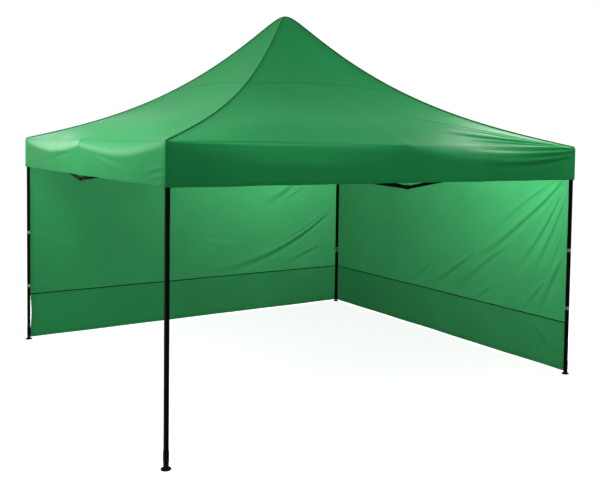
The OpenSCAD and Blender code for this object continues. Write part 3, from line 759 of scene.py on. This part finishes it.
wall_folds = {
    "back": (
        ((-1.90, 1.295), (-0.84, 0.744), -0.042, 0.018, 0.0050),
        ((-1.90, 1.260), (0.01, 0.520), -0.168, 0.032, 0.0095),
        ((-1.72, 0.785), (-1.10, 0.545), -0.002, 0.026, 0.0045),
        ((-1.30, 1.600), (-0.82, 1.340), -0.017, 0.040, 0.0080),
        ((-1.45, 1.560), (-1.15, 1.400), 0.000, 0.022, 0.0045),
        ((-0.05, 0.960), (-0.60, 0.870), 0.008, 0.035, 0.0030),
        ((1.92, 1.140), (1.20, 0.820), -0.030, 0.050, 0.0025),
        ((1.90, 0.600), (1.30, 0.500), 0.010, 0.042, 0.0025),
    ),
    "right": (
        ((-1.92, 1.880), (-0.66, 0.900), -0.045, 0.030, 0.0115),
        ((-0.68, 1.000), (0.14, 0.480), -0.022, 0.032, 0.0075),
        ((-1.83, 1.680), (-1.26, 0.880), -0.045, 0.028, 0.0095),
        ((-1.94, 1.780), (-1.50, 0.880), -0.028, 0.026, 0.0100),
        ((-1.91, 1.140), (-1.58, 0.490), 0.000, 0.032, 0.0100),
        ((-1.68, 0.830), (-1.36, 0.470), 0.001, 0.026, 0.0050),
        ((-1.18, 1.130), (-0.36, 0.510), 0.025, 0.034, 0.0060),
        ((-0.96, 0.680), (-0.68, 0.480), -0.006, 0.026, 0.0050),
        ((0.04, 0.780), (0.48, 0.480), -0.003, 0.034, 0.0055),
        ((-1.78, 1.830), (-0.86, 1.180), 0.030, 0.024, 0.0045),
        ((-1.92, 1.900), (-1.24, 1.080), 0.030, 0.016, 0.0040),
        ((-1.94, 1.440), (-1.70, 0.840), 0.020, 0.016, 0.0045),
        ((-1.55, 0.400), (-1.85, 0.090), 0.010, 0.032, -0.0065),
        ((1.66, 1.620), (1.91, 0.860), 0.040, 0.016, 0.0090),
        ((1.44, 1.580), (1.84, 0.760), 0.023, 0.018, 0.0090),
        ((1.34, 1.420), (1.70, 0.750), 0.010, 0.018, 0.0075),
        ((0.82, 1.220), (1.28, 0.820), 0.022, 0.022, 0.0055),
        ((1.04, 1.340), (1.40, 0.890), -0.030, 0.018, 0.0055),
        ((1.88, 1.860), (1.72, 1.240), 0.010, 0.016, 0.0045),
    ),
}
strap_heights = {"back": ((0.725,), (0.578, 1.148)), "right": ((0.630, 1.180), (0.690,))}
wall_ends = {"back": ("back_right", "back_left"), "right": ("front_right", "back_right")}
play_in, play_out = 0.016, 0.014
valance_room, joiner_room = 0.0132, 0.0145
edge_slack, slack_reach = 0.018, 0.16
wall_hem_thick, wall_thread_lift = 0.0006, 0.0004
binding_thick, binding_height = 0.0030, 0.0105
wall_clear, foot_clear = 0.50, 0.36


def slack(z, heights):
    """How far an edge draws back from its leg between the straps."""
    held_at = (0.0, *heights)
    drawn = np.zeros_like(z)
    for low, high in zip(held_at[:-1], held_at[1:]):
        share = np.clip((z - low) / (high - low), 0, 1)
        drawn = drawn + edge_slack * (1.3 - high) * np.sin(np.pi * share) ** 2
    return drawn


def goes_with_wall(piece):
    """A wall piece stays on the leg at the back right."""
    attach(piece, "outer_leg_back_right")
    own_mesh(piece)


wall_cloth = coated_polyester("green_wall_cloth", cloth_dark, cloth_light, wall_clear, wall_bottom + wall_hem)
foot_cloth = coated_polyester("green_foot_cloth", cloth_dark, cloth_light, foot_clear, wall_bottom + wall_hem)
binding_cloth = ribbed_cloth("black_green_binding", (0.0015, 0.014, 0.005), (0.003, 0.026, 0.009), 300.0)
wall_pieces = {}
for side in ("back", "right"):
    turns = sides.index(side)
    low_end, high_end = wall_spans[side]
    between_hems = np.linspace(low_end + 0.041, high_end - 0.041, 250)
    wall_x = np.concatenate([low_end + edge_steps, between_hems, high_end - edge_steps[::-1]])
    x, z = np.meshgrid(wall_x, wall_z)
    from_end = np.minimum(x - low_end, high_end - x)
    lift = 0.0030 * np.sin(2.1 * x + 1.3 * z + turns) + 0.0024 * np.sin(4.7 * x - 1.9 * z + 2 * turns)
    lift = lift + 0.0030 * np.sin(7.3 * x + turns) * (1 - z / wall_top)
    for fold in wall_folds[side]:
        lift = lift + crease(x, z, *fold)
    lift = lift * smooth_step(0.0, 0.10, from_end)
    behind_valance = smooth_step(1.70, 1.80, z)
    lift = np.clip(lift - 0.003 * behind_valance, -play_in * smooth_step(0.04, 0.20, from_end), play_out)
    lift = np.minimum(lift, play_out - valance_room * behind_valance) * (1 - smooth_step(1.88, 1.94, z))
    by_joiner = smooth_step(0.40, 0.15, np.abs(x)) * smooth_step(1.62, 1.74, z)
    lift = np.maximum(lift, -play_in + joiner_room * by_joiner)
    edge_gap = np.minimum(from_end, z - wall_bottom)
    lift = lift - wall_hem_thick * (1 - smooth_step(wall_hem - 0.001, wall_hem + 0.001, edge_gap))
    first, second = strap_heights[side]
    moved = slack(z, first) * np.exp(-(x - low_end) / slack_reach) * (len(first) > 1)
    moved = moved - slack(z, second) * np.exp(-(high_end - x) / slack_reach) * (len(second) > 1)
    wall_grid = quarter_turns(np.stack([x + moved, -wall_out - lift, z], -1), turns)
    flat_wall = np.stack([x, z], -1)
    panel = sheet_mesh("wall_" + side, wall_grid, flat_wall, wall_cloth)
    panel.data.materials.append(foot_cloth)
    below_seam = np.repeat((wall_z[1:] < wall_seam_z - 0.001).astype(np.int32), len(wall_x) - 1)
    panel.data.polygons.foreach_set("material_index", below_seam)
    inward = -facing(wall_grid)
    seam_row = int(np.argmin(np.abs(wall_z - wall_seam_z)))
    binding = line_piece("wall_seam_" + side, [wall_grid[seam_row]])
    binding_sizes = {"Thickness": binding_thick, "Height": binding_height, "Cloth": binding_cloth}
    made_by(bound_line, binding, binding_sizes)
    raised = wall_grid + wall_thread_lift * inward
    hem_row = int(np.argmin(np.abs(wall_z - wall_bottom - 0.020)))
    sewn_rows = [raised[seam_row - 2], raised[seam_row + 2], raised[hem_row]]
    sewn = stitched("stitches_wall_" + side, [*sewn_rows, raised[:, 4], raised[:, -5]])
    for piece in (panel, binding, sewn):
        goes_with_wall(piece)
    wall_pieces[side] = [panel, binding, sewn]


# Straps: flat pale green webbing, passed around the leg and sewn to the edge of the wall.
# Each goes with its own leg. The leg that both walls share has one for each of them.
webbing = ribbed_cloth("pale_green_webbing", (0.150, 0.360, 0.200), (0.200, 0.420, 0.250), 160.0)
strap_height, strap_thick = 0.030, 0.0018
leg_half, loop_round = 0.0135, 0.004
loop_half = leg_half + 0.0004 + strap_thick / 2
sewn_reach, sewn_out = 0.024, wall_out - half_span - 0.0012
strap_loops = {}
for side in ("back", "right"):
    turns = sides.index(side)
    for way, corner, heights in zip((-1, 1), wall_ends[side], strap_heights[side]):
        bends = np.radians(np.arange(7.5, 360, 15))
        ring = np.stack([np.cos(bends), np.sin(bends)], -1)
        quarter = np.sign(ring)
        middle = quarter * (loop_half - loop_round)
        at_wall = (quarter[:, 0] == -way) & (quarter[:, 1] == -1)
        middle[at_wall] = (-way * (sewn_reach - loop_round), -sewn_out + loop_round)
        ring = middle + ring * loop_round + (way * half_span, -half_span)
        for height in heights:
            loop = np.column_stack([ring, np.full(len(ring), height)])
            strap_loops.setdefault(corner, []).append(quarter_turns(loop, turns))
straps = {}
for corner, loops in strap_loops.items():
    straps[corner] = line_piece("straps_" + corner, loops, closed=True)
    made_by(bound_line, straps[corner], {"Thickness": strap_thick, "Height": strap_height, "Cloth": webbing})
    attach(straps[corner], "outer_leg_" + corner)
for side, (panel, *on_wall) in wall_pieces.items():
    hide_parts(side + "_wall")


# Studio: a plain pale floor that takes the shadow, a white surround, and soft lamps on all sides.
# A wide lamp hangs high above. Those near the eave and far behind give the coat its sheen, and those outside
# the walls light them through the cloth, so most of these are kept out of the sheen.
def seen_rays(tree):
    """Is 1 for what the camera sees, straight, mirrored or through glass, and 0 for light on the object."""
    ray = place(tree, "ShaderNodeLightPath").outputs
    passing = {0: ray["Is Transmission Ray"], 1: ray["Is Diffuse Ray"]}
    glass = place(tree, "ShaderNodeMath", passing, operation="SUBTRACT").outputs[0]
    bounced = {0: glass, 1: ray["Is Glossy Ray"]}
    mirror = place(tree, "ShaderNodeMath", bounced, operation="MAXIMUM").outputs[0]
    straight = {0: mirror, 1: ray["Is Camera Ray"]}
    return place(tree, "ShaderNodeMath", straight, operation="MAXIMUM").outputs[0]


floor_mesh = bpy.data.meshes.new("floor")
floor_reach, floor_glow, surround_fill = 40.0, 0.88, 0.38
floor_corners = [(x * floor_reach, y * floor_reach, 0) for x, y in ((-1, -1), (1, -1), (1, 1), (-1, 1))]
floor_mesh.from_pydata(floor_corners, [], [(0, 1, 2, 3)])
floor = bpy.data.objects.new("floor", floor_mesh)
bpy.context.scene.collection.objects.link(floor)
floor_finish, tree, ground = blank_finish("pale_floor")
ground.inputs["Base Color"].default_value = (0.3, 0.3, 0.3, 1)
ground.inputs["Roughness"].default_value = 0.9
ground.inputs["Specular IOR Level"].default_value = 0.1
seen = seen_rays(tree)
glow = place(tree, "ShaderNodeEmission", {"Color": (1, 1, 1, 1), "Strength": floor_glow})
lifted = place(tree, "ShaderNodeAddShader", {0: ground.outputs[0], 1: glow.outputs[0]})
shown = place(tree, "ShaderNodeMixShader", {0: seen, 1: ground.outputs[0], 2: lifted.outputs[0]})
tree.links.new(shown.outputs[0], tree.nodes["Material Output"].inputs["Surface"])
floor_mesh.materials.append(floor_finish)

world = bpy.data.worlds.new("surround")
bpy.context.scene.world = world
world.use_nodes = True
tree = world.node_tree
fill = tree.nodes["Background"]
fill.inputs["Color"].default_value = (1, 1, 1, 1)
fill.inputs["Strength"].default_value = surround_fill
white = place(tree, "ShaderNodeBackground", {"Color": (1, 1, 1, 1), "Strength": 1.0})
seen = seen_rays(tree)
shown = place(tree, "ShaderNodeMixShader", {0: seen, 1: fill.outputs[0], 2: white.outputs[0]})
tree.links.new(shown.outputs[0], tree.nodes["World Output"].inputs["Surface"])


def soft_lamp(name, spot, target, size, length, power, mirrored=True):
    """A soft lamp at a spot, turned to a target, with its length level, mirrored in the sheen or not."""
    lamp_data = bpy.data.lights.new(name, "AREA")
    lamp_data.shape = "RECTANGLE"
    lamp_data.size = length
    lamp_data.size_y = size
    lamp_data.energy = power
    lamp = bpy.data.objects.new(name, lamp_data)
    lamp.location = spot
    lamp.visible_camera = False
    lamp.visible_glossy = mirrored
    lamp.rotation_euler = (Vector(target) - Vector(spot)).to_track_quat("-Z", "Y").to_euler()
    bpy.context.scene.collection.objects.link(lamp)


soft_lamp("top_lamp", (1.8, 6.3, 19.2), (0, 0, 2.4), 6.0, 6.0, 980)
soft_lamp("left_lamp", (-3.4, -0.2, 3.3), (-1.9, -0.2, 2.1), 1.4, 3.6, 140)
soft_lamp("eave_lamp", (-1.2, -2.7, 3.6), (-1.0, -1.9, 2.1), 0.8, 3.2, 19)
soft_lamp("front_lamp", (0.5, -9.0, 4.5), (0, 0, 1.8), 4.0, 4.0, 120)
soft_lamp("right_lamp", (3.6, -0.3, 3.8), (1.5, -1.75, 2.2), 1.4, 1.4, 78)
soft_lamp("corner_lamp", (2.2, -2.3, 3.5), (1.7, -1.85, 2.2), 1.0, 1.0, 20)
soft_lamp("right_wall_lamp", (3.4, -1.7, 2.6), (2.0, -1.4, 1.7), 0.8, 1.2, 120, mirrored=False)
soft_lamp("right_far_lamp", (4.3, 1.8, 2.9), (2.0, 1.6, 1.8), 1.4, 1.4, 50, mirrored=False)
soft_lamp("back_wall_lamp", (1.1, 3.3, 2.8), (1.0, 2.0, 1.8), 1.2, 1.4, 150, mirrored=False)
soft_lamp("back_far_lamp", (-2.6, 2.9, 2.6), (-1.9, 2.0, 1.8), 0.8, 0.8, 30)
soft_lamp("back_lamp", (0.6, 6.7, 3.2), (-1.6, -0.8, 2.2), 1.0, 1.6, 12)
soft_lamp("back_left_lamp", (-1.8, 7.0, 3.8), (-2.0, 0, 2.1), 1.6, 1.6, 40)

bpy.context.scene.view_settings.view_transform = "Standard"
